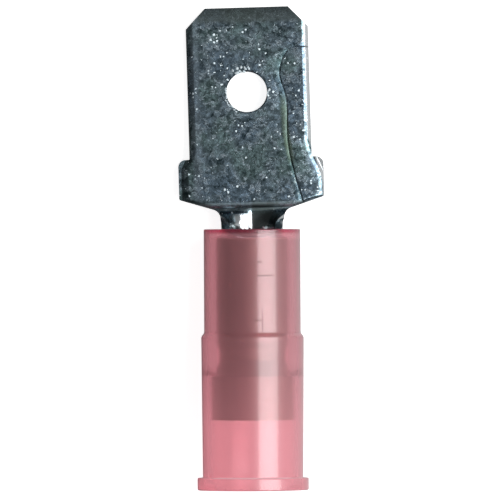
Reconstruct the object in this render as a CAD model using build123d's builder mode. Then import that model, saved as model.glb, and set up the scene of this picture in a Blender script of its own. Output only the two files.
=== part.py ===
"""Insulated male spade terminal, lying on its back on a table.

Three pieces: a terminal folded and rolled from one sheet of tin-plated brass, a thin metal ferrule
that grips the wire, and a moulded nylon sleeve over both. The tab points along +Y and its front
face looks up. Millimetres.
"""
from math import atan, cos, pi, radians, sin, tan
import os

from build123d import *

# Sheet metal of the terminal
sheet = 0.40
tab_width = 6.35
tab_length = 7.82           # from the tops of the shoulders to the tip
tip_corner = (1.02, 1.06)   # the tip's cut corners, across and along the tab
lead_in_length = 0.70
lead_in_depth = 0.16
fold_radius = 0.38          # outside of the folded edges
crease = 0.03               # left between the two layers of the fold

# Detent hole of the tab
hole_diameter = 2.10
hole_to_tip = 4.38
hole_offset = -0.10
hole_edge = 0.07

# Shoulders that stop the tab in its receptacle
shoulder_reach = 0.595      # out from the tab's edges
shoulder_height = 2.07
shoulder_corner = 0.38
shoulder_slope = 17.5       # degrees, of their undersides
neck_fillet = 0.50
flap_end_rise = 0.155       # of the flaps' ends above the neck's sharp corners
flap_end_roll = 0.24

# Seam where the two flaps meet on the front face
seam_gap = 0.09
seam_roll = (0.26, 0.03)    # die roll of the wide flap along the seam, across and deep
narrow_flap_length = 7.78   # up from the shoulders' lower corners
seam_points = (             # in from the tab's right edge, down from the narrow flap's end
    (-0.40, 0.00),
    (0.30, 0.00),
    (0.82, 0.03),
    (1.16, 0.28),
    (1.42, 0.80),
    (1.53, 1.35),
    (1.28, 2.35),
    (1.22, 4.40),
    (0.77, 7.10),
    (0.35, 8.50),
)

# Swell of the flaps from the tab out to the shoulders: where it starts, where it ends, how far out
left_swell = (2.62, 1.40, 0.43)
right_swell = (3.10, 0.70, 0.66)

# Wire barrel, rolled from the same sheet
barrel_radius = 1.60
tab_lean = 1.45             # degrees, of the tab to the barrel's left

# The neck curls from the flat tab into the barrel. Drops are down from the shoulders' lower corners.
neck_start = 0.56
neck_closed = 2.60
neck_sections = 9
neck_flare = 0.65           # half width at the start, over the barrel's radius
neck_waist = 0.36           # share of the neck's length over which the flare dies out
neck_ease = 1.5             # how gently the bend sets in
neck_trim = 0.06            # width left beside the barrel where the shoulders' outline ends
closed_angle = 178          # half angle of the bend where the sheet's edges meet, in degrees
neck_to_sleeve = 1.62       # from the sleeve's rim up to the shoulders' lower corners

# Ferrule
ferrule_wall = 0.23
fit = 0.03                  # radial clearance of the ferrule on the barrel and in the sleeve
groove_radius = 1.72
grip_radius = 2.14
ferrule_length = 9.40
grip_length = 2.27
lower_flank = 0.86
groove_length = 0.57
upper_flank = 0.41
ferrule_bend = 0.16

# Nylon sleeve
sleeve_length = 13.52
top_radius = 2.505
body_radius = 2.66
body_length = 7.96
body_draft = 0.45           # degrees
step_length = 0.19
flange_radius = 2.885
flange_thickness = 0.65
lip_radius = 1.70
lip_length = 0.47
mouth_flare = (0.22, 0.55)
rim_round = 0.06

# Places along the wire axis, from the flange's end face
ferrule_top = sleeve_length - lip_length - fit
ferrule_radius = barrel_radius + fit + ferrule_wall
grip_top = ferrule_top - ferrule_length + grip_length
groove_bottom = grip_top + lower_flank
groove_top = groove_bottom + groove_length
barrel_end = groove_top + upper_flank + fit
shoulder_bottom = sleeve_length + neck_to_sleeve

# Heights in front of the wire axis
tab_back = -barrel_radius
tab_middle = tab_back + sheet
tab_front = tab_middle + sheet

half_tab = tab_width / 2
half_shoulder = half_tab + shoulder_reach
tip = shoulder_height + tab_length
neck_corner = barrel_radius + neck_trim
slope_drop = (half_shoulder - neck_corner) * tan(radians(shoulder_slope))
neck_cut = -slope_drop - 1.4 * neck_fillet
flap_end = flap_end_rise - slope_drop

# The tab is heavy, so the terminal rests on the sleeve's top rim and on the back of the tab's tip.
overall_length = shoulder_bottom + tip
rim_contact = sleeve_length - rim_round
tip_contact = overall_length - lead_in_length + half_tab * sin(radians(tab_lean))
rest_tilt = atan((top_radius - barrel_radius) / (tip_contact - rim_contact))
axis_height = top_radius * cos(rest_tilt) + rim_contact * sin(rest_tilt)
below_axis = flange_radius - (tab_front - lead_in_depth)
mouth_y = -(overall_length * cos(rest_tilt) - below_axis * sin(rest_tilt)) / 2

# Drawing plane: x to the right, y along the wire axis to the tip, z to the front
drawing = Plane(
    origin=(0, mouth_y, axis_height),
    x_dir=(1, 0, 0),
    z_dir=(0, sin(rest_tilt), cos(rest_tilt)),
)
wire_axis = Axis(drawing.origin, drawing.y_dir)
# The tab's own drawing plane starts between the shoulders' lower corners and leans to the left.
tab_plane = Plane(drawing.location * Location((0, shoulder_bottom, 0), (0, 0, tab_lean)))


def across(plane, distance):
    """Plane square to the wire axis at a distance along it, with y to the front."""
    centre = plane.from_local_coords((0, distance, 0))
    return Plane(origin=centre, x_dir=plane.x_dir, z_dir=-plane.y_dir)


def bend_section(half_angle, half_width):
    """Section of the bent sheet, as wide as given from the front."""
    radius = half_width / sin(radians(min(half_angle, 90)))
    middle = (0, radius - barrel_radius)
    start = -90 - half_angle
    with BuildSketch() as section:
        with BuildLine():
            outside = CenterArc(middle, radius, start, 2 * half_angle)
            inside = CenterArc(middle, radius - sheet, start, 2 * half_angle)
            Line(outside @ 0, inside @ 0)
            Line(outside @ 1, inside @ 1)
        make_face()
    return section.sketch


def tab_outline():
    """Outline of the tab, shoulders and neck as seen from the front."""
    rounded = (
        (half_tab, shoulder_height, 0.05),
        (half_shoulder, shoulder_height, shoulder_corner),
        (half_shoulder, 0, 0.1),
        (neck_corner, -slope_drop, neck_fillet),
    )
    with BuildSketch() as outline:
        with BuildLine():
            side = Polyline(
                (0, tip),
                (half_tab - tip_corner[0], tip),
                (half_tab, tip - tip_corner[1]),
                *((x, y) for x, y, _ in rounded),
                (neck_corner, -neck_to_sleeve),
                (0, -neck_to_sleeve),
            )
            mirror(side, about=Plane.YZ)
        make_face()
        for x, y, radius in rounded:
            corners = [v for v in vertices() if abs(abs(v.X) - x) + abs(v.Y - y) < 1e-4]
            fillet(corners, radius)
    return outline.sketch


def flap_outline(inset, bottom, top):
    """Outline of the folded flaps, which swell smoothly out to the shoulders."""
    left_start, left_end, left_reach = left_swell
    right_start, right_end, right_reach = right_swell
    edge = half_tab - inset
    down = (0, -1)
    with BuildSketch() as outline:
        with BuildLine():
            Line((-edge, top), (-edge, left_start))
            Spline((-edge, left_start), (-edge - left_reach, left_end), tangents=(down, down))
            Polyline(
                (-edge - left_reach, left_end),
                (-edge - left_reach, bottom),
                (edge + right_reach, bottom),
                (edge + right_reach, right_end),
            )
            Spline((edge, right_start), (edge + right_reach, right_end), tangents=(down, down))
            Polyline((edge, right_start), (edge, top), (-edge, top))
        make_face()
    return outline.sketch


def outside_outline():
    """What lies outside the tab's outline, above the straight part of the neck."""
    with BuildSketch() as outside:
        with Locations((0, neck_cut)):
            Rectangle(4 * half_shoulder, 2 * tip, align=(Align.CENTER, Align.MIN))
        add(tab_outline(), mode=Mode.SUBTRACT)
    return outside.sketch


def runs_along_tab(edge):
    """True of an edge that runs mainly along the tab."""
    return abs((edge @ 1 - edge @ 0).normalized().dot(tab_plane.y_dir)) > 0.5


def start_of(path):
    """Plane across a path on the front face, with x to its right and y into the sheet."""
    direction = path % 0
    return Plane(origin=path @ 0, x_dir=direction.cross(tab_plane.z_dir), z_dir=direction)


def rolled_end_cut():
    """What the rounding takes off the flaps' end edge, over the neck and under the shoulders."""
    beyond = half_shoulder + sheet
    corner = half_shoulder + flap_end / tan(radians(shoulder_slope))
    rise = (beyond - half_shoulder) * tan(radians(shoulder_slope))
    with BuildLine(tab_plane.offset(tab_front)) as end_edge:
        Polyline((-beyond, rise), (-corner, flap_end), (corner, flap_end), (beyond, rise))
    path = end_edge.wires()[0]
    roll = flap_end_roll
    with BuildPart() as cut:
        with BuildSketch(start_of(path)):
            with BuildLine():
                CenterArc((-roll, roll), roll, -90, 90)
                Polyline((0, roll), (roll, roll), (roll, -roll), (-roll, -roll), (-roll, 0))
            make_face()
        sweep(path=path, transition=Transition.RIGHT)
    return cut.part


def seam_cut():
    """Groove between the two flaps, with the wide flap's rolled edge beside it."""
    points = [(half_tab - inward, narrow_flap_length - down) for inward, down in seam_points]
    with BuildLine(tab_plane.offset(tab_front)) as seam:
        Spline(*points)
    path = seam.wires()[0]
    roll_width, roll_depth = seam_roll
    with BuildPart() as groove:
        with BuildSketch(start_of(path)):
            Polygon(
                (-seam_gap / 2, -sheet),
                (seam_gap / 2 + roll_width, -sheet),
                (seam_gap / 2 + roll_width, 0),
                (seam_gap / 2, roll_depth),
                (seam_gap / 2, sheet - crease / 2),
                (-seam_gap / 2, sheet - crease / 2),
                align=None,
            )
        sweep(path=path)
    return groove.part


def folded_flaps():
    """Front layer of the tab: two flaps with folded edges, an open crease behind them and their seam."""
    end_cut = rolled_end_cut()
    seam = seam_cut()
    with BuildPart() as flaps:
        with BuildSketch(tab_plane.offset(tab_middle)):
            add(flap_outline(0, flap_end, tip))
        extrude(amount=sheet)
        front_face = faces().sort_by(Axis(tab_plane.origin, tab_plane.z_dir))[-1]
        fillet(front_face.edges().filter_by(runs_along_tab), fold_radius)
        with BuildSketch(tab_plane):
            add(outside_outline())
        extrude(amount=2 * barrel_radius, both=True, mode=Mode.SUBTRACT)
        add(end_cut, mode=Mode.SUBTRACT)
        with BuildSketch(tab_plane.offset(tab_middle)):
            add(flap_outline(sheet, flap_end - sheet, tip + sheet))
            with Locations((0, narrow_flap_length)):
                Rectangle(tab_width, tab_width, align=(Align.MIN, Align.MIN))
        extrude(amount=crease, mode=Mode.SUBTRACT)
        add(seam, mode=Mode.SUBTRACT)
    return flaps.part


def flat_section():
    """Section of the sheet where the neck starts."""
    with BuildSketch(across(tab_plane, -neck_start)) as section:
        with Locations((0, tab_back)):
            Rectangle(2 * (barrel_radius + neck_flare), sheet, align=(Align.CENTER, Align.MIN))
    return section.sketch


def back_layer():
    """Back layer of the tab and its shoulders, down to where the neck starts to bend."""
    with BuildPart() as layer:
        for width, top in ((tab_width, tip), (2 * half_shoulder, shoulder_height)):
            with BuildSketch(across(tab_plane, top)) as profile:
                with Locations((0, tab_back)):
                    Rectangle(width, sheet, align=(Align.CENTER, Align.MIN))
                fillet(profile.vertices().group_by(Axis.Y)[0], fold_radius)
            extrude(amount=top - flap_end)
        extrude(flat_section(), amount=-neck_start - flap_end - sheet)
    return layer.part


def neck_section(share):
    """Bent section of the neck at a share of its length, which is closed at 1."""
    half_angle = closed_angle * sin(share * pi / 2) ** neck_ease
    half_width = barrel_radius + neck_flare * max(0, 1 - share / neck_waist) ** 2
    drop = neck_start + share * (neck_closed - neck_start)
    plane = across(tab_plane, -drop) if share < neck_waist / 2 else across(drawing, shoulder_bottom - drop)
    with BuildSketch(plane) as section:
        add(bend_section(half_angle, half_width))
    return section.sketch


def neck_and_barrel():
    """The sheet below the tab, which curls into a trough and closes round the wire."""
    shares = [i / (neck_sections - 1) for i in range(1, neck_sections)]
    with BuildPart() as neck:
        loft(sections=[flat_section(), *(neck_section(share) for share in shares)])
        extrude(neck_section(1), amount=shoulder_bottom - neck_closed - barrel_end)
    return neck.part


def hole_cut():
    """Detent hole through both layers, with its edges broken at the front and the back."""
    radius = hole_diameter / 2
    centre = tab_plane.from_local_coords((hole_offset, tip - hole_to_tip, 0))
    hole_plane = Plane(origin=centre, x_dir=tab_plane.x_dir, z_dir=-tab_plane.y_dir)
    with BuildPart() as cut:
        with BuildSketch(hole_plane):
            Polygon(
                (0, tab_back - hole_edge),
                (radius + 2 * hole_edge, tab_back - hole_edge),
                (radius, tab_back + hole_edge),
                (radius, tab_front - hole_edge),
                (radius + 2 * hole_edge, tab_front + hole_edge),
                (0, tab_front + hole_edge),
                align=None,
            )
        revolve(axis=Axis(centre, tab_plane.z_dir))
    return cut.part


flaps = folded_flaps()
layer = back_layer()
neck = neck_and_barrel()
hole = hole_cut()
side_plane = Plane(origin=tab_plane.origin, x_dir=tab_plane.y_dir, z_dir=tab_plane.x_dir)

with BuildPart() as tab_terminal:
    add(layer)
    add(neck)
    with BuildSketch(tab_plane):
        add(outside_outline())
    extrude(amount=2 * barrel_radius, both=True, mode=Mode.SUBTRACT)
    add(flaps)
    with BuildSketch(side_plane):
        for face, way in ((tab_front, 1), (tab_back, -1)):
            Polygon(
                (tip - lead_in_length, face),
                (tip + lead_in_length, face - 2 * way * lead_in_depth),
                (tip + lead_in_length, face + way * lead_in_depth),
                align=None,
            )
    extrude(amount=tab_width, both=True, mode=Mode.SUBTRACT)
    add(hole, mode=Mode.SUBTRACT)
tab_terminal.part.label = "tab_terminal"

with BuildPart() as grip_ferrule:
    with BuildSketch(drawing):
        with BuildLine():
            outside = FilletPolyline(
                (grip_radius, grip_top - grip_length),
                (grip_radius, grip_top),
                (groove_radius, groove_bottom),
                (groove_radius, groove_top),
                (ferrule_radius, groove_top + upper_flank),
                (ferrule_radius, ferrule_top),
                radius=ferrule_bend,
            )
            offset(outside, amount=ferrule_wall, side=Side.LEFT, mode=Mode.REPLACE)
        make_face()
    revolve(axis=wire_axis)
grip_ferrule.part.label = "grip_ferrule"

with BuildPart() as nylon_sleeve:
    bore = ferrule_radius + fit
    grip_bore = grip_radius + fit
    bore_step = lower_flank * (grip_radius - ferrule_radius) / (grip_radius - groove_radius)
    body_foot = body_radius - (body_length - flange_thickness) * tan(radians(body_draft))
    with BuildSketch(drawing) as profile:
        with BuildLine():
            Polyline(
                (flange_radius, 0),
                (flange_radius, flange_thickness),
                (body_foot, flange_thickness),
                (body_radius, body_length),
                (top_radius, body_length + step_length),
                (top_radius, sleeve_length),
                (lip_radius, sleeve_length),
                (lip_radius, ferrule_top + fit),
                (bore, ferrule_top + fit),
                (bore, grip_top + bore_step),
                (grip_bore, grip_top),
                (grip_bore, mouth_flare[1]),
                (grip_bore + mouth_flare[0], 0),
                close=True,
            )
        make_face()
        outer_corners = profile.vertices().group_by(Axis.X)[-1]
        fillet(outer_corners, rim_round)
    revolve(axis=wire_axis)
nylon_sleeve.part.label = "nylon_sleeve"

os.makedirs("parts", exist_ok=True)
export_step(tab_terminal.part, "parts/tab_terminal.step")
export_step(grip_ferrule.part, "parts/grip_ferrule.step")
export_step(nylon_sleeve.part, "parts/nylon_sleeve.step")
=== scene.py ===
"""Insulated male spade terminal: a clear pink sleeve and the metal inside it, round the packed CAD part."""
from math import cos, pi, radians, sin
from random import Random

import bmesh
import bpy
from bpy.props import FloatProperty, FloatVectorProperty, IntProperty, PointerProperty
from bpy.types import Operator, Panel, PropertyGroup
from mathutils import Matrix, Vector


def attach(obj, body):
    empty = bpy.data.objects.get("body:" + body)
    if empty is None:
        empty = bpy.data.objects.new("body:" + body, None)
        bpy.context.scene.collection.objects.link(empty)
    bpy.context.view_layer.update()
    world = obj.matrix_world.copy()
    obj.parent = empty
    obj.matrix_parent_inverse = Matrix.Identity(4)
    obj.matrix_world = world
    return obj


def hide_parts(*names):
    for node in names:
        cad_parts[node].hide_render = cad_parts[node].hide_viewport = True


bl_info = {
    "name": "Spade terminal",
    "version": (1, 0, 0),
    "blender": (4, 5, 0),
    "location": "3D View > Sidebar > Terminal",
    "description": "Builds an insulated male spade terminal and the stage it lies on",
    "category": "Add Mesh",
}

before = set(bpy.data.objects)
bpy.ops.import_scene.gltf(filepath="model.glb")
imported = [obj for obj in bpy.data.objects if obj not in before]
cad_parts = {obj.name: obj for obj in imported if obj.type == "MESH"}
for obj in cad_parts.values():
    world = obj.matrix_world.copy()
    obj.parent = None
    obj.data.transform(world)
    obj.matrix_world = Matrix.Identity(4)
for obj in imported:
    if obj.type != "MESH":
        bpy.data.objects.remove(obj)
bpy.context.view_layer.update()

MM = 0.001
SENSOR = 36.0
TOUCHING = MM / 1000
TURNED_CREASE = radians(40)
FOLDED_CREASE = radians(30)

# Millimetres in the tab's frame: (along, across) points of the flaps' seam and of the right shoulder's fold.
SEAM = (
    (-0.72, 2.825), (0.68, 2.405), (3.38, 1.955), (5.43, 1.895),
    (6.43, 1.645), (6.98, 1.755), (7.50, 2.015), (7.75, 2.355),
)
FOLD = ((0.77, 3.68), (1.60, 3.45), (2.38, 3.22), (3.10, 2.97))

# Millimetres from the wire end: the middle (across, along) and half the (width, length) of each scratch.
SCRATCHES = (
    ((0.62, 11.12), (0.42, 0.045)),
    ((0.39, 11.82), (0.13, 0.05)),
    ((0.52, 8.81), (0.03, 0.57)),
    ((0.31, 8.81), (0.21, 0.04)),
)


def size(name, description, millimetres):
    """Length property with its default in millimetres."""
    return FloatProperty(
        name=name, description=description, default=millimetres * MM,
        unit="LENGTH", subtype="DISTANCE", precision=5,
    )


def turn(name, description, degrees):
    """Angle property with its default in degrees."""
    return FloatProperty(
        name=name, description=description, default=radians(degrees), unit="ROTATION", subtype="ANGLE",
    )


def share(name, description, value):
    """Property from 0 to 1."""
    return FloatProperty(name=name, description=description, default=value, min=0, max=1, subtype="FACTOR")


def refraction(name, description, value):
    """Index of refraction."""
    return FloatProperty(name=name, description=description, default=value, min=1)


def strength(name, description, value):
    """Property of a lamp's or a surface's light."""
    return FloatProperty(name=name, description=description, default=value, min=0)


def colour(name, description, rgb):
    """Linear colour property."""
    return FloatVectorProperty(
        name=name, description=description, default=rgb, size=3, min=0, max=1, subtype="COLOR",
    )


class RestSettings(PropertyGroup):
    """How the terminal lies on the floor"""

    tilt: turn("Tilt", "Fall of the wire axis towards the tab's tip", 4.7245)
    mouth_height: size("Mouth height", "Height of the wire axis at the sleeve's wire end", 3.6051)
    mouth_place: size("Mouth place", "Place of the sleeve's wire end along the floor", -12.3141)
    lean: turn("Tab lean", "Turn of the tab to the left of the wire axis", 1.45)
    tab_start: size("Tab start", "From the wire end to the shoulders' lower corners", 15.14)


class SleeveSettings(PropertyGroup):
    """Moulded nylon sleeve"""

    length: size("Length", "Length of the sleeve", 13.52)
    top_radius: size("Top radius", "Outside of the narrow length", 2.505)
    body_radius: size("Body radius", "Outside of the wide length at its step", 2.66)
    foot_radius: size("Foot radius", "Outside of the wide length at the flange", 2.603)
    body_length: size("Body length", "From the wire end to the step", 7.96)
    step_length: size("Step length", "Length of the outer step", 0.19)
    flange_radius: size("Flange radius", "Outside of the flange", 2.885)
    flange_thickness: size("Flange thickness", "Thickness of the flange", 0.65)
    lip_radius: size("Lip radius", "Opening round the terminal's neck", 1.70)
    lip_length: size("Lip length", "Length of the lip that holds the ferrule", 0.47)
    bore_radius: size("Bore radius", "Bore round the ferrule", 1.89)
    grip_radius: size("Grip radius", "Bore round the ferrule's wide end", 2.17)
    grip_top: size("Grip top", "Place of the ferrule's wide end", 5.89)
    bore_step: size("Bore step", "Length of the cone between the bores", 0.573)
    flare: size("Flare", "Widening of the mouth", 0.22)
    flare_length: size("Flare length", "Length of the flared mouth", 0.55)
    rounding: size("Rounding", "Rounding of the outer corners", 0.06)
    nylon: colour("Nylon", "Colour of the nylon's outer skin and its haze", (0.93, 0.36, 0.42))
    bore: colour("Bore", "Colour of the nylon's bore", (0.97, 0.86, 0.86))
    # Painted shade: the top edge's deep red stands for light running a long way through the nylon.
    rim: colour("Rim", "Colour that the top edge gathers", (0.72, 0.04, 0.12))
    clear: share("Clear", "How much light goes through, the rest is haze", 0.82)
    index: refraction("Index", "Refraction of the nylon", 1.53)
    # Painted glow: the haze's emission stands for light carried through the nylon from the bright floor.
    glow: strength("Glow", "Light that the haze carries from the bright floor where the ferrule ends", 0.13)
    gloss: share("Gloss", "Extra gloss of the moulded skin", 1.0)
    gloss_index: refraction("Gloss index", "Refraction of the glossy skin", 1.62)
    gloss_roughness: share("Gloss roughness", "Roughness of the glossy skin", 0.34)
    roughness: share("Roughness", "Roughness of the moulded surface", 0.17)
    scratch: colour("Scratches", "Colour of the scratches in front", (0.20, 0.05, 0.06))
    wear: share("Wear", "How strongly the scratches show", 0.6)
    steps: IntProperty(name="Steps", description="Faces round the sleeve", default=144, min=12, max=512)


class FerruleSettings(PropertyGroup):
    """Drawn metal ferrule inside the sleeve"""

    top: size("Top", "Place of the ferrule's top", 13.02)
    length: size("Length", "Length of the ferrule", 9.40)
    radius: size("Radius", "Outside of the ferrule round the barrel", 1.86)
    groove_radius: size("Groove radius", "Outside of the groove", 1.72)
    grip_radius: size("Grip radius", "Outside of the wide end", 2.14)
    grip_length: size("Grip length", "Length of the wide end", 2.27)
    lower_flank: size("Lower flank", "Length of the cone under the groove", 0.86)
    groove_length: size("Groove length", "Length of the groove", 0.57)
    upper_flank: size("Upper flank", "Length of the cone over the groove", 0.41)
    wall: size("Wall", "Thickness of the metal", 0.23)
    bend: size("Bend", "Rounding of the bends", 0.10)
    plating: colour("Plating", "Colour of the ferrule's plating", (0.46, 0.46, 0.37))
    clouded: colour("Clouds", "Colour that the plating's clouds tend to", (0.38, 0.36, 0.31))
    roughness: share("Roughness", "Roughness of the drawn surface", 0.66)
    steps: IntProperty(name="Steps", description="Faces round the ferrule", default=144, min=12, max=512)


class TinSettings(PropertyGroup):
    """Tin plating of the tab, neck and barrel"""

    dark: colour("Dark", "Darkest grains of the plating", (0.036, 0.058, 0.068))
    middle: colour("Middle", "Most of the plating", (0.205, 0.255, 0.29))
    light: colour("Light", "Lightest grains of the plating", (0.40, 0.50, 0.59))
    speck: colour("Specks", "Bright specks of bare metal", (0.84, 0.95, 1.0))
    squiggle: colour("Squiggles", "Light squiggles in the plating", (0.66, 0.80, 0.90))
    # Painted shade in the seam's crevice.
    seam_shade: colour("Seam shade", "Dark stain along the seam", (0.13, 0.18, 0.14))
    # Painted shade on the flap's rolled edge beside the seam.
    rolled: colour("Rolled edge", "Tint of the flap's rolled edge beside the seam", (0.42, 0.48, 0.47))
    swaged: colour("Swaged tip", "Plating of the bevelled tip", (0.18, 0.225, 0.225))
    # Painted highlight along the outside of the right shoulder's fold.
    fold_highlight: colour("Highlit fold", "Highlighted outside of the right shoulder's fold", (0.86, 0.90, 0.92))
    neck: colour("Neck", "Plating inside the bent neck", (0.62, 0.66, 0.68))
    turned_end: colour("Turned end", "Shade where the flaps end above the neck", (0.15, 0.18, 0.18))
    recess: colour("Recess", "Shade at the right of the neck's top", (0.10, 0.13, 0.13))
    grain: size("Grain", "Size of the plating's grains", 0.11)
    roughness: share("Roughness", "Roughness of the plating", 0.24)
    neck_roughness: share("Neck roughness", "Roughness inside the bent neck", 0.17)


class ShoulderSettings(PropertyGroup):
    """Upper corner of the left shoulder"""

    reach: size("Reach", "From the tab's middle to the shoulder's side", 3.77)
    height: size("Height", "From the lower to the upper corner", 2.07)
    rounding: size("Rounding", "Rounding of the upper corner", 0.38)
    inside: size("Inside", "How far in from the side the corner's faces reach", 1.2)
    steps: IntProperty(name="Steps", description="Faces of the rounding", default=6, min=1, max=64)


class BurrSettings(PropertyGroup):
    """Crumbs of tin at the hole's edge"""

    hole_radius: size("Hole radius", "Radius of the hole", 1.05)
    hole_across: size("Hole offset", "Place of the hole beside the tab's middle", -0.10)
    hole_along: size("Hole place", "Place of the hole above the shoulders' lower corners", 5.51)
    front: size("Front", "Height of the tab's front face over the wire axis", -0.80)
    crumb: size("Crumb", "Size of a crumb", 0.20)
    metal: share("Metal", "How much the torn tin mirrors like metal", 0.3)
    roughness: share("Roughness", "Roughness of the torn tin", 0.5)
    top_start: turn("Top start", "Start of the crumbs over the hole", 82)
    top_end: turn("Top end", "End of the crumbs over the hole", 122)
    top_count: IntProperty(name="Top count", description="Crumbs over the hole", default=12, min=0, max=99)
    side_start: turn("Side start", "Start of the crumbs beside the hole", -18)
    side_end: turn("Side end", "End of the crumbs beside the hole", 6)
    side_count: IntProperty(name="Side count", description="Crumbs beside the hole", default=6, min=0, max=99)
    lip_start: turn("Lip start", "Start of the fine ragged lip", 168)
    lip_end: turn("Lip end", "End of the fine ragged lip", 246)
    lip_count: IntProperty(name="Lip count", description="Crumbs of the fine lip", default=34, min=0, max=99)
    seed: IntProperty(name="Seed", description="Seed of the crumbs' places", default=3)


class StageSettings(PropertyGroup):
    """Floor, lamps and camera"""

    floor_size: size("Floor size", "Side of the square floor", 12000)
    floor: colour("Floor", "Colour of the floor", (0.80, 0.80, 0.80))
    floor_lift: strength("Floor lift", "Light that the floor adds for the camera", 0.82)
    floor_glow: strength("Floor glow", "Brightness of the floor behind the clear nylon", 0.74)
    floor_gleam: strength("Floor gleam", "Brightness of the floor in reflections", 0.55)
    room: strength("Room", "Light of the room from all sides", 0.26)
    room_front: strength("Room in front", "Brightness that the metal shows straight ahead", 0.22)
    room_left: strength("Room at the left", "Brightness that the metal shows at its left", 0.12)
    room_right: strength("Room at the right", "Brightness that the metal shows at its right", 0.62)
    key_power: strength("Key power", "Watts of the large lamp at the right", 2.55)
    key_turn: turn("Key turn", "Turn of the key lamp from the camera's side to the right", 36)
    key_width: size("Key width", "Width of the key lamp", 420)
    key_length: size("Key length", "Length of the key lamp along the terminal", 470)
    key_distance: size("Key distance", "From the terminal to the key lamp", 500)
    camera_distance: size("Camera distance", "From the terminal to the camera", 550)
    view_width: size("View width", "Width of the picture at the terminal", 25.9)
    view_along: size("View centre", "Place of the picture's centre along the wire axis", 12.44)
    view_across: size("View offset", "Place of the picture's centre beside the wire axis", -0.11)
    view_roll: turn("Roll", "Turn of the picture", -0.27)


GROUPS = {
    "rest": RestSettings,
    "sleeve": SleeveSettings,
    "ferrule": FerruleSettings,
    "tin": TinSettings,
    "shoulder": ShoulderSettings,
    "burr": BurrSettings,
    "stage": StageSettings,
}


def settings(name):
    """Settings of the scene by their short name."""
    return getattr(bpy.context.scene, "terminal_" + name)


def drawing():
    """Frame at the wire end: x to the right, y along the wire axis to the tip, z to the front."""
    rest = settings("rest")
    place = Matrix.Translation((0, rest.mouth_place, rest.mouth_height))
    return place @ Matrix.Rotation(-rest.tilt, 4, "X")


def tab_drawing():
    """Frame of the leaning tab, between the shoulders' lower corners."""
    rest = settings("rest")
    return drawing() @ Matrix.Translation((0, rest.tab_start, 0)) @ Matrix.Rotation(rest.lean, 4, "Z")


def show(name, bm, materials, replaced=None):
    """Makes a bmesh an object that rides on the terminal, and stands for a CAD node where one is named."""
    mesh = bpy.data.meshes.new(name)
    bm.to_mesh(mesh)
    bm.free()
    for material in materials:
        mesh.materials.append(material)
    piece = bpy.data.objects.new(name, mesh)
    bpy.context.scene.collection.objects.link(piece)
    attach(piece, "root")
    if replaced:
        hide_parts(replaced)
    return piece


def turned(points, steps):
    """Bmesh of a closed profile of (radius, place along the wire axis), spun round that axis."""
    bm = bmesh.new()
    verts = [bm.verts.new((radius, along, 0)) for radius, along in points]
    edges = [bm.edges.new(pair) for pair in zip(verts, verts[1:] + verts[:1])]
    bmesh.ops.spin(
        bm, geom=verts + edges, cent=(0, 0, 0), axis=(0, 1, 0), angle=2 * pi, steps=steps, use_merge=True,
    )
    bmesh.ops.recalc_face_normals(bm, faces=bm.faces)
    return bm


def round_rings(bm, corners, radius, segments):
    """Rounds the rings of edges at the given (radius, place) corners of a turned piece."""
    def lies_at(vert, corner):
        away = Vector((Vector((vert.co.x, vert.co.z)).length, vert.co.y)) - Vector(corner)
        return away.length < TOUCHING

    rings = [
        edge for edge in bm.edges
        if any(all(lies_at(vert, corner) for vert in edge.verts) for corner in corners)
    ]
    bmesh.ops.bevel(
        bm, geom=rings, offset=radius, offset_type="OFFSET", segments=segments, profile=0.5,
        affect="EDGES", clamp_overlap=True, material=-1,
    )


def shade_smooth(bm, sharp_angle):
    """Shades a bmesh smooth, apart from edges that bend more than an angle."""
    for face in bm.faces:
        face.smooth = True
    for edge in bm.edges:
        edge.smooth = edge.is_manifold and edge.calc_face_angle() < sharp_angle


def new_material(name):
    """Material, its node tree and its Principled BSDF."""
    material = bpy.data.materials.new(name)
    material.use_nodes = True
    tree = material.node_tree
    return material, tree, tree.nodes["Principled BSDF"]


def give(tree, socket, value):
    """Links a socket to another one, or sets its value."""
    if isinstance(value, bpy.types.NodeSocket):
        tree.links.new(value, socket)
    elif socket.type == "RGBA" and len(value) == 3:
        socket.default_value = (*value, 1)
    else:
        socket.default_value = value


def fill(tree, made, values):
    """Links or sets a node's inputs by name or number."""
    for key, value in values.items():
        give(tree, made.inputs[key], value)


def node(tree, kind, values=None, **options):
    """Node with its options, and its inputs by name or number, each a value or a socket."""
    made = tree.nodes.new("ShaderNode" + kind)
    for key, value in options.items():
        setattr(made, key, value)
    fill(tree, made, values or {})
    return made


def maths(tree, operation, *values):
    """Result of a Math node."""
    return node(tree, "Math", dict(enumerate(values)), operation=operation).outputs[0]


def mixed(tree, factor, first, second, blend="MIX"):
    """Mix of two colours."""
    return node(tree, "Mix", {0: factor, 6: first, 7: second}, data_type="RGBA", blend_type=blend).outputs[2]


def blended(tree, factor, first, second):
    """Mix of two numbers."""
    return node(tree, "Mix", {0: factor, 2: first, 3: second}, data_type="FLOAT").outputs[0]


def ramp(tree, value, *stops):
    """Colour ramp over a value, through (value, grey or colour) stops and even beyond the outer two."""
    first, last = stops[0][0], stops[-1][0]
    scale = 1 / (last - first)
    made = node(tree, "ValToRGB", {"Fac": maths(tree, "MULTIPLY_ADD", value, scale, -first * scale)})
    elements = made.color_ramp.elements
    while len(elements) < len(stops):
        elements.new(0.5)
    for element, (place, shade) in zip(elements, stops):
        element.position = (place - first) * scale
        element.color = (*shade, 1) if hasattr(shade, "__len__") else (shade, shade, shade, 1)
    return made.outputs["Color"]


def noise(tree, vector, scale, detail=2.0, roughness=0.5, distortion=0.0):
    """Grey noise."""
    return node(tree, "TexNoise", {
        "Vector": vector, "Scale": scale, "Detail": detail, "Roughness": roughness, "Distortion": distortion,
    }).outputs["Fac"]


def around(tree, middle, spread, value):
    """Number that a noise moves about a middle, by half the spread each way."""
    return maths(tree, "MULTIPLY_ADD", maths(tree, "SUBTRACT", value, 0.5), spread, middle)


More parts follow.
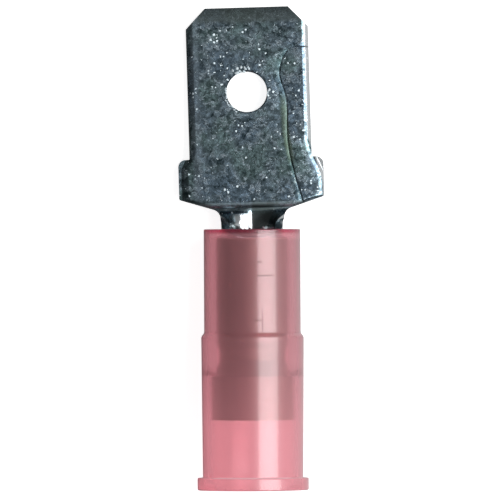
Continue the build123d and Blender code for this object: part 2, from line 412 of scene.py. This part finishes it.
def coordinates(tree, place, unit):
    """Object coordinates in a frame of the terminal, counted in the given unit of length."""
    inverse = Matrix.Scale(1 / unit, 4) @ place.inverted()
    values = {
        "Vector": node(tree, "TexCoord").outputs["Object"],
        "Location": inverse.to_translation(),
        "Rotation": inverse.to_euler(),
        "Scale": inverse.to_scale(),
    }
    return node(tree, "Mapping", values).outputs["Vector"]


def axes(tree, place):
    """Sockets of X, Y and Z in a frame of the terminal, in millimetres."""
    return node(tree, "SeparateXYZ", {"Vector": coordinates(tree, place, MM)}).outputs


def patch(tree, across, across_stops, along, along_stops):
    """Mask of a patch: a ramp across it times a ramp along it."""
    return maths(tree, "MULTIPLY", ramp(tree, across, *across_stops), ramp(tree, along, *along_stops))


def beside(tree, across, along, points):
    """Millimetres to the right of a line through (along, across) points, which lie up to 10 mm across."""
    tenths = [(place, millimetres / 10) for place, millimetres in points]
    return maths(tree, "MULTIPLY_ADD", ramp(tree, along, *tenths), -10, across)


def plating(tree, place, fine):
    """Slate grain in blue and green patches, as a colour and a height."""
    tin = settings("tin")
    patches = noise(tree, place, 0.20, 6, 0.62, 1.4)
    tone = maths(tree, "MULTIPLY_ADD", patches, 0.72, maths(tree, "MULTIPLY", fine, 0.28))
    base = ramp(tree, tone, (0.40, tin.dark), (0.475, tin.middle), (0.54, tin.middle), (0.60, tin.light))
    blot = noise(tree, place, 0.42, 3, 0.55, 0.8)
    blot = ramp(tree, blot, (0.43, 0.0), (0.48, 0.40), (0.53, 0.40), (0.56, 0.90))
    base = mixed(tree, blot, mixed(tree, 0.50, base, tin.dark), mixed(tree, 0.35, base, tin.light))
    hue = noise(tree, place, 0.06, 3)
    hue = ramp(tree, hue, (0.38, (0.86, 1.0, 0.90)), (0.49, (0.92, 0.99, 1.0)), (0.60, (0.82, 0.92, 1.0)))
    return mixed(tree, 1.0, base, hue, "MULTIPLY"), tone


def squiggles(tree, place):
    """Mask of short squiggles: narrow contours of a noise, broken up by another."""
    contour = maths(tree, "ABSOLUTE", maths(tree, "SUBTRACT", noise(tree, place, 0.42, 2, 0.5, 1.2), 0.5))
    line = ramp(tree, contour, (0.02, 1.0), (0.07, 0.0))
    kept = ramp(tree, noise(tree, place, 0.34, 2), (0.52, 0.0), (0.59, 0.65))
    return maths(tree, "MULTIPLY", line, kept)


def specks(tree, place):
    """Mask of specks: some cells of a shaken grid hold a spot, more of them in crowds."""
    shaken = node(tree, "TexNoise", {"Vector": place, "Scale": 1.6, "Detail": 2.0}).outputs["Color"]
    values = {0: shaken, 1: (0.9, 0.9, 0.9), 2: place}
    shaken = node(tree, "VectorMath", values, operation="MULTIPLY_ADD").outputs[0]
    cells = node(tree, "TexVoronoi", {"Vector": shaken, "Scale": 0.66}).outputs
    chosen = node(tree, "SeparateColor", {"Color": cells["Color"]}).outputs["Red"]
    crowd = ramp(tree, noise(tree, place, 0.10, 3), (0.42, 0.88), (0.62, 0.66))
    growth, largest = 1.5, 0.36
    radius = maths(tree, "MULTIPLY", maths(tree, "SUBTRACT", chosen, crowd), growth)
    return maths(tree, "LESS_THAN", cells["Distance"], maths(tree, "MINIMUM", radius, largest))


def tab_wear_shade_and_highlight(tree, base, across, along):
    """Plating with its rubbed left side, painted shade on the rolled edge and in the crevice of the seam, and
    a painted highlight along the right shoulder's fold.
    """
    tin = settings("tin")
    rubbed = ramp(tree, across, (-3.05, 0.0), (-2.90, 0.3), (-2.65, 0.3), (-2.45, 0.0))
    base = mixed(tree, rubbed, base, tin.light)
    seam = beside(tree, across, along, SEAM)
    # Painted shade: the flap's rolled edge beside the seam darkened, toning down the lamp's reflection there.
    rolled = patch(
        tree, seam, ((-0.40, 0.0), (-0.30, 0.85), (-0.03, 0.85), (0.01, 0.0)),
        along, ((7.65, 1.0), (7.75, 0.0)),
    )
    base = mixed(tree, rolled, base, mixed(tree, 1.0, base, tin.rolled, "MULTIPLY"))
    # Painted shade: the seam's crevice darkened to dark green.
    shaded_seam = patch(
        tree, seam, ((-0.36, 0.0), (-0.22, 0.75), (0.04, 0.75), (0.12, 0.0)),
        along, ((1.6, 0.0), (2.2, 1.0), (4.6, 1.0), (5.4, 0.0)),
    )
    base = mixed(tree, shaded_seam, base, tin.seam_shade)
    # Painted highlight: near white along the outside of the right shoulder's fold, where the lamp's reflection
    # runs.
    fold_highlight = ramp(tree, beside(tree, across, along, FOLD), (-0.02, 0.0), (0.05, 0.9))
    return mixed(tree, fold_highlight, base, tin.fold_highlight)


def tin_material():
    """Matt tin of the tab, smoother in the neck, with bright specks, the marks of folding and wear, painted
    shade along the seam, where the flaps end and in the neck's recess, and a painted highlight on the fold.
    """
    tin = settings("tin")
    material, tree, shader = new_material("tin_plate")
    place = coordinates(tree, tab_drawing(), tin.grain)
    across, along, _ = axes(tree, tab_drawing())
    fine = noise(tree, place, 1.3, 4, 0.65, 0.5)
    base, tone = plating(tree, place, fine)
    base = mixed(tree, squiggles(tree, place), base, tin.squiggle)
    swaged = ramp(tree, along, (9.0, 0.0), (9.25, 0.75))
    speck = maths(tree, "MULTIPLY", specks(tree, place), maths(tree, "LESS_THAN", swaged, 0.3))
    base = mixed(tree, speck, base, tin.speck)
    base = tab_wear_shade_and_highlight(tree, mixed(tree, swaged, base, tin.swaged), across, along)

    neck = ramp(tree, along, (-0.95, 1.0), (-0.75, 0.0))
    base = mixed(tree, neck, base, tin.neck)
    turned_end = ramp(tree, along, (-0.75, 0.0), (-0.60, 0.5), (-0.25, 0.5), (-0.15, 0.0))
    base = mixed(tree, turned_end, base, tin.turned_end)
    recess = patch(
        tree, across, ((-0.05, 0.0), (0.05, 0.8), (1.0, 0.8), (1.5, 0.0)),
        along, ((-0.35, 1.0), (-0.05, 0.0)),
    )
    base = mixed(tree, recess, base, tin.recess)
    rough = maths(tree, "MULTIPLY_ADD", speck, 0.35, around(tree, tin.roughness, 0.24, fine))
    rough = blended(tree, neck, maths(tree, "MAXIMUM", rough, turned_end), tin.neck_roughness)

    grain = node(tree, "Bump", {"Strength": 0.20, "Distance": 0.01 * MM, "Height": tone})
    crease = patch(
        tree, across, ((-0.44, 1.0), (-0.24, 0.72), (-0.04, 0.0)), along, ((-0.80, 1.0), (-0.45, 0.0)),
    )
    creased = node(tree, "Bump", {
        "Strength": 1.0, "Distance": 0.105 * MM, "Height": crease, "Normal": grain.outputs["Normal"],
    })
    fill(tree, shader, {
        "Base Color": base, "Metallic": 1.0, "Roughness": rough, "Normal": creased.outputs["Normal"],
    })
    return material


def burr_material():
    """Bright torn tin, too ragged to mirror anything."""
    burr = settings("burr")
    material, tree, shader = new_material("torn_tin")
    fill(tree, shader, {
        "Base Color": settings("tin").speck, "Metallic": burr.metal, "Roughness": burr.roughness,
    })
    return material


def ferrule_material():
    """Smooth drawn metal with clouds in its plating."""
    ferrule = settings("ferrule")
    material, tree, shader = new_material("drawn_plating")
    place = coordinates(tree, drawing(), MM)
    cloud = noise(tree, place, 0.8, 4)
    bump = node(tree, "Bump", {"Strength": 0.15, "Distance": 0.01 * MM, "Height": noise(tree, place, 3.0, 3)})
    fill(tree, shader, {
        "Base Color": mixed(tree, maths(tree, "MULTIPLY", cloud, 0.4), ferrule.plating, ferrule.clouded),
        "Metallic": 1.0,
        "Roughness": around(tree, ferrule.roughness, 0.10, cloud),
        "Normal": bump.outputs["Normal"],
    })
    return material


def scratches(tree, across, along, front):
    """Mask of the few fine scratches on the sleeve's front."""
    marks = 0.0
    for (middle_across, middle_along), (half_width, half_length) in SCRATCHES:
        wide = maths(tree, "COMPARE", across, middle_across, half_width)
        long = maths(tree, "COMPARE", along, middle_along, half_length)
        marks = maths(tree, "MAXIMUM", marks, maths(tree, "MULTIPLY", wide, long))
    return maths(tree, "MULTIPLY", marks, maths(tree, "GREATER_THAN", front, 0.0))


def moulded_nylon():
    """Node group of hazy nylon, slightly uneven as it left the mould, for the sleeve's skin and its bore, with
    a painted deep red top edge and a painted glow.
    """
    sleeve = settings("sleeve")
    tree = bpy.data.node_groups.new("moulded_nylon", "ShaderNodeTree")
    for side, kind, names in (
        ("INPUT", "Color", ("Tint", "Rim", "Scratches")),
        ("INPUT", "Float", ("Roughness", "Glow", "Gloss", "Wear")),
        ("OUTPUT", "Color", ("Color", "Emission")),
        ("OUTPUT", "Float", ("Roughness", "Coat")),
        ("OUTPUT", "Vector", ("Normal",)),
    ):
        for name in names:
            tree.interface.new_socket(name, in_out=side, socket_type="NodeSocket" + kind)
    given = tree.nodes.new("NodeGroupInput").outputs
    place = coordinates(tree, drawing(), MM)
    across, along, front = axes(tree, drawing())
    cloud = noise(tree, place, 0.45, 3)
    marks = maths(tree, "MULTIPLY", scratches(tree, across, along, front), given["Wear"])
    deeper = mixed(tree, 1.0, given["Tint"], (0.94, 0.94, 0.94), "MULTIPLY")
    base = mixed(tree, cloud, given["Tint"], deeper)
    # Painted shade: deep red at the top edge, where light runs a long way through the nylon.
    base = mixed(tree, ramp(tree, along, (13.22, 0.0), (13.38, 1.0)), base, given["Rim"])
    # Painted glow: emission strongest towards the wire end, with more on the left flank and in the lip's band.
    carried = ramp(tree, along, (3.0, 1.0), (5.2, 0.62), (7.0, 0.30), (9.5, 0.10))
    flank = ramp(tree, across, (-2.6, 0.6), (-1.3, 0.0))
    lip = ramp(tree, along, (12.95, 0.0), (13.05, 0.5), (13.25, 0.5), (13.35, 0.0))
    carried = maths(tree, "ADD", carried, maths(tree, "MAXIMUM", flank, lip))
    bump = node(tree, "Bump", {"Strength": 0.10, "Distance": 0.02 * MM, "Height": noise(tree, place, 1.2, 2)})
    glow = maths(tree, "MULTIPLY", carried, given["Glow"])
    fill(tree, tree.nodes.new("NodeGroupOutput"), {
        "Color": mixed(tree, marks, base, given["Scratches"]),
        "Emission": mixed(tree, 1.0, given["Tint"], glow, "MULTIPLY"),
        "Roughness": around(tree, given["Roughness"], 0.08, cloud),
        "Coat": maths(tree, "MULTIPLY", given["Gloss"], maths(tree, "SUBTRACT", 1.0, marks)),
        "Normal": bump.outputs["Normal"],
    })
    return tree


def nylon_material(name, group, tint, clear, glow, gloss, wear):
    """Clear nylon. One that has no glow or gloss leaves those sockets alone."""
    sleeve = settings("sleeve")
    material, tree, shader = new_material(name)
    look = node(tree, "Group", {
        "Tint": tint, "Rim": sleeve.rim, "Scratches": sleeve.scratch, "Roughness": sleeve.roughness,
        "Glow": glow, "Gloss": gloss, "Wear": wear,
    }, node_tree=group).outputs
    fill(tree, shader, {
        "Base Color": look["Color"], "Metallic": 0.0, "Roughness": look["Roughness"], "Normal": look["Normal"],
        "IOR": sleeve.index, "Transmission Weight": clear,
        "Coat IOR": sleeve.gloss_index, "Coat Roughness": sleeve.gloss_roughness,
    })
    if glow:
        fill(tree, shader, {"Emission Color": look["Emission"], "Emission Strength": 1.0})
    if gloss:
        fill(tree, shader, {"Coat Weight": look["Coat"]})
    return material


def seen_in(tree):
    """1 for the camera, in a reflection, in bare metal's reflection, and through the clear nylon alone."""
    path = node(tree, "LightPath").outputs
    mirrored = maths(tree, "MINIMUM", path["Glossy Depth"], 1.0)
    outside = maths(tree, "SUBTRACT", 1.0, path["Is Transmission Ray"])
    metal = maths(tree, "MULTIPLY", path["Is Glossy Ray"], outside)
    through = maths(tree, "MULTIPLY", path["Is Transmission Ray"], maths(tree, "SUBTRACT", 1.0, mirrored))
    return path["Is Camera Ray"], mirrored, metal, through


def floor_material():
    """Pale floor that looks white from the camera and keeps the terminal's shadow."""
    stage = settings("stage")
    material, tree, shader = new_material("pale_floor")
    camera, mirrored, metal, through = seen_in(tree)
    across = axes(tree, Matrix())["X"]
    gleam = ramp(tree, across, (-4.0, 0.15), (0.0, 1.0))
    gleam = maths(tree, "MAXIMUM", gleam, maths(tree, "SUBTRACT", 1.0, metal))
    lift = maths(tree, "MULTIPLY", camera, stage.floor_lift)
    lift = maths(tree, "MULTIPLY_ADD", through, stage.floor_glow, lift)
    lift = maths(tree, "MULTIPLY_ADD", maths(tree, "MULTIPLY", mirrored, gleam), stage.floor_gleam, lift)
    even = maths(tree, "MAXIMUM", mirrored, through)
    fill(tree, shader, {
        "Base Color": mixed(tree, even, stage.floor, (0.0, 0.0, 0.0)),
        "Roughness": 0.9, "Specular IOR Level": 0.1, "Emission Color": (1, 1, 1), "Emission Strength": lift,
    })
    return material


class TERMINAL_OT_sleeve(Operator):
    """Builds the moulded nylon sleeve with its lip, step and flange"""

    bl_idname = "terminal.sleeve"
    bl_label = "Nylon sleeve"

    def execute(self, context):
        s = settings("sleeve")
        bore_top = s.length - s.lip_length
        outer = [
            (s.flange_radius, 0),
            (s.flange_radius, s.flange_thickness),
            (s.foot_radius, s.flange_thickness),
            (s.body_radius, s.body_length),
            (s.top_radius, s.body_length + s.step_length),
            (s.top_radius, s.length),
        ]
        inner = [
            (s.lip_radius, s.length),
            (s.lip_radius, bore_top),
            (s.bore_radius, bore_top),
            (s.bore_radius, s.grip_top + s.bore_step),
            (s.grip_radius, s.grip_top),
            (s.grip_radius, s.flare_length),
            (s.grip_radius + s.flare, 0),
        ]
        bm = turned(outer + inner, s.steps)
        round_rings(bm, outer + inner[-3:], s.rounding, segments=3)
        shade_smooth(bm, TURNED_CREASE)
        for face in bm.faces:
            away = face.calc_center_median()
            looks_inwards = away.x * face.normal.x + away.z * face.normal.z < 0
            face.material_index = int(looks_inwards)
        bm.transform(drawing())
        group = moulded_nylon()
        skins_by_index = [
            nylon_material("pink_nylon", group, s.nylon, s.clear, glow=s.glow, gloss=s.gloss, wear=s.wear),
            nylon_material("nylon_bore", group, s.bore, 1.0, glow=0.0, gloss=0.0, wear=0.0),
        ]
        show("sleeve", bm, skins_by_index, "nylon_sleeve")
        return {"FINISHED"}


class TERMINAL_OT_ferrule(Operator):
    """Builds the drawn metal ferrule that grips the wire"""

    bl_idname = "terminal.ferrule"
    bl_label = "Ferrule"

    def execute(self, context):
        s = settings("ferrule")
        grip_top = s.top - s.length + s.grip_length
        groove_bottom = grip_top + s.lower_flank
        groove_top = groove_bottom + s.groove_length
        outside = [
            (s.grip_radius, grip_top - s.grip_length),
            (s.grip_radius, grip_top),
            (s.groove_radius, groove_bottom),
            (s.groove_radius, groove_top),
            (s.radius, groove_top + s.upper_flank),
            (s.radius, s.top),
        ]
        inside = [(radius - s.wall, along) for radius, along in reversed(outside)]
        bm = turned(outside + inside, s.steps)
        round_rings(bm, outside[1:5] + inside[1:5], s.bend, segments=4)
        shade_smooth(bm, TURNED_CREASE)
        bm.transform(drawing())
        show("ferrule", bm, [ferrule_material()], "grip_ferrule")
        return {"FINISHED"}


class TERMINAL_OT_tab(Operator):
    """Dresses the folded tab, neck and rolled barrel, and rounds the left shoulder's upper corner"""

    bl_idname = "terminal.tab"
    bl_label = "Tab and barrel"

    def execute(self, context):
        s = settings("shoulder")
        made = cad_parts["tab_terminal"]
        bm = bmesh.new()
        bm.from_mesh(made.data)
        bm.transform(tab_drawing().inverted() @ made.matrix_world)
        bmesh.ops.remove_doubles(bm, verts=bm.verts, dist=TOUCHING / 5)
        middle = Vector((s.rounding - s.reach, s.height - s.rounding, 0))
        top = s.height + 10 * TOUCHING
        for step in range(s.steps):
            # Each cut takes off what lies beyond one facet of the rounding.
            way = pi - (step + 0.5) / s.steps * pi / 2
            out = Vector((cos(way), sin(way), 0))
            near = [
                face for face in bm.faces
                if all(vert.co.x < s.inside - s.reach and vert.co.y < top for vert in face.verts)
            ]
            borders = {part for face in near for part in (*face.edges, *face.verts)}
            cut = bmesh.ops.bisect_plane(
                bm, geom=[*near, *borders], dist=TOUCHING / 10,
                plane_co=middle + out * s.rounding, plane_no=out, clear_outer=True,
            )
            edges = [edge for edge in cut["geom_cut"] if isinstance(edge, bmesh.types.BMEdge)]
            bmesh.ops.edgenet_fill(bm, edges=edges)
        bmesh.ops.recalc_face_normals(bm, faces=bm.faces)
        shade_smooth(bm, FOLDED_CREASE)
        bm.transform(tab_drawing())
        piece = show("tab", bm, [tin_material()], "tab_terminal")
        smooth = piece.modifiers.new("flat faces", "WEIGHTED_NORMAL")
        smooth.weight, smooth.keep_sharp = 100, True
        return {"FINISHED"}


class TERMINAL_OT_burr(Operator):
    """Scatters the crumbs of tin at the edge of the tab's hole"""

    bl_idname = "terminal.burr"
    bl_label = "Burr"

    def execute(self, context):
        s = settings("burr")
        dice = Random(s.seed)
        bm = bmesh.new()
        for start, end, count, coarse in (
            (s.top_start, s.top_end, s.top_count, 1.0),
            (s.side_start, s.side_end, s.side_count, 0.8),
            (s.lip_start, s.lip_end, s.lip_count, 0.5),
        ):
            crumb = s.crumb * coarse
            for number in range(count):
                way = start + (end - start) * (number + dice.random()) / count
                reach = s.hole_radius + crumb * dice.uniform(0.0, 1.4)
                scale = [crumb * dice.uniform(0.5, 1.0) for _ in range(3)]
                middle = (s.hole_across + reach * cos(way), s.hole_along + reach * sin(way), s.front)
                tumbled = Matrix.Rotation(dice.uniform(0, pi), 4, (0.3, 0.2, 1.0))
                place = Matrix.Translation(middle) @ tumbled @ Matrix.Diagonal((*scale, 1))
                bmesh.ops.create_icosphere(bm, subdivisions=1, radius=0.5, matrix=place)
        bm.transform(tab_drawing())
        show("burr", bm, [burr_material()])
        return {"FINISHED"}


class TERMINAL_OT_stage(Operator):
    """Lays the pale floor and sets up the lamps and the camera"""

    bl_idname = "terminal.stage"
    bl_label = "Stage"

    def execute(self, context):
        s = settings("stage")
        bm = bmesh.new()
        bmesh.ops.create_grid(bm, x_segments=1, y_segments=1, size=s.floor_size / 2)
        mesh = bpy.data.meshes.new("floor")
        bm.to_mesh(mesh)
        bm.free()
        mesh.materials.append(floor_material())
        floor = bpy.data.objects.new("floor", mesh)
        context.scene.collection.objects.link(floor)

        centre = Matrix.Translation((s.view_across, s.view_along, 0))
        view = drawing() @ centre @ Matrix.Rotation(s.view_roll, 4, "Z")
        key = bpy.data.lights.new("key", "AREA")
        key.shape = "RECTANGLE"
        key.size, key.size_y, key.energy = s.key_width, s.key_length, s.key_power
        lamp = bpy.data.objects.new("key", key)
        away = Matrix.Translation((0, 0, s.key_distance))
        lamp.matrix_world = view @ Matrix.Rotation(s.key_turn, 4, "Y") @ away
        context.scene.collection.objects.link(lamp)

        world = bpy.data.worlds.new("room")
        world.use_nodes = True
        tree = world.node_tree
        camera, mirrored, _, through = seen_in(tree)
        way = node(tree, "SeparateXYZ", {"Vector": node(tree, "TexCoord").outputs["Generated"]}).outputs
        across = ramp(
            tree, way["X"],
            (-0.28, s.room_left), (-0.02, s.room_front), (0.04, s.room_front), (0.50, s.room_right),
        )
        along = ramp(tree, maths(tree, "ABSOLUTE", way["Y"]), (0.15, 1.0), (0.55, 0.45))
        shown = maths(tree, "MULTIPLY", across, along)
        level = blended(tree, mirrored, s.room, shown)
        level = maths(tree, "MAXIMUM", level, maths(tree, "MULTIPLY", through, s.floor_glow))
        level = maths(tree, "MAXIMUM", level, camera)
        fill(tree, tree.nodes["Background"], {"Color": (1, 1, 1), "Strength": level})
        context.scene.world = world

        camera = bpy.data.cameras.new("camera")
        camera.sensor_width = SENSOR
        camera.lens = SENSOR * s.camera_distance / s.view_width
        camera.clip_start = s.camera_distance / 10
        eye = bpy.data.objects.new("camera", camera)
        eye.matrix_world = view @ Matrix.Translation((0, 0, s.camera_distance))
        context.scene.collection.objects.link(eye)
        context.scene.camera = eye
        context.scene.view_settings.view_transform = "Standard"
        return {"FINISHED"}


class TERMINAL_PT_panel(Panel):
    """Lists the terminal's settings and builders"""

    bl_idname = "TERMINAL_PT_panel"
    bl_label = "Spade terminal"
    bl_space_type = "VIEW_3D"
    bl_region_type = "UI"
    bl_category = "Terminal"

    def draw(self, context):
        for name, group in GROUPS.items():
            box = self.layout.box()
            box.label(text=group.__doc__)
            for key in group.__annotations__:
                box.prop(settings(name), key)
        for builder in BUILDERS:
            self.layout.operator(builder.bl_idname)


BUILDERS = (TERMINAL_OT_tab, TERMINAL_OT_burr, TERMINAL_OT_ferrule, TERMINAL_OT_sleeve, TERMINAL_OT_stage)
CLASSES = (*GROUPS.values(), *BUILDERS, TERMINAL_PT_panel)


def register():
    """Registers the settings, builders and panel."""
    for made in CLASSES:
        bpy.utils.register_class(made)
    for name, group in GROUPS.items():
        setattr(bpy.types.Scene, "terminal_" + name, PointerProperty(type=group))


def unregister():
    """Takes the settings, builders and panel out again."""
    for name in GROUPS:
        delattr(bpy.types.Scene, "terminal_" + name)
    for made in reversed(CLASSES):
        bpy.utils.unregister_class(made)


def main():
    """Builds every piece and the stage."""
    register()
    bpy.ops.terminal.tab()
    bpy.ops.terminal.burr()
    bpy.ops.terminal.ferrule()
    bpy.ops.terminal.sleeve()
    bpy.ops.terminal.stage()


if __name__ == "__main__":
    main()
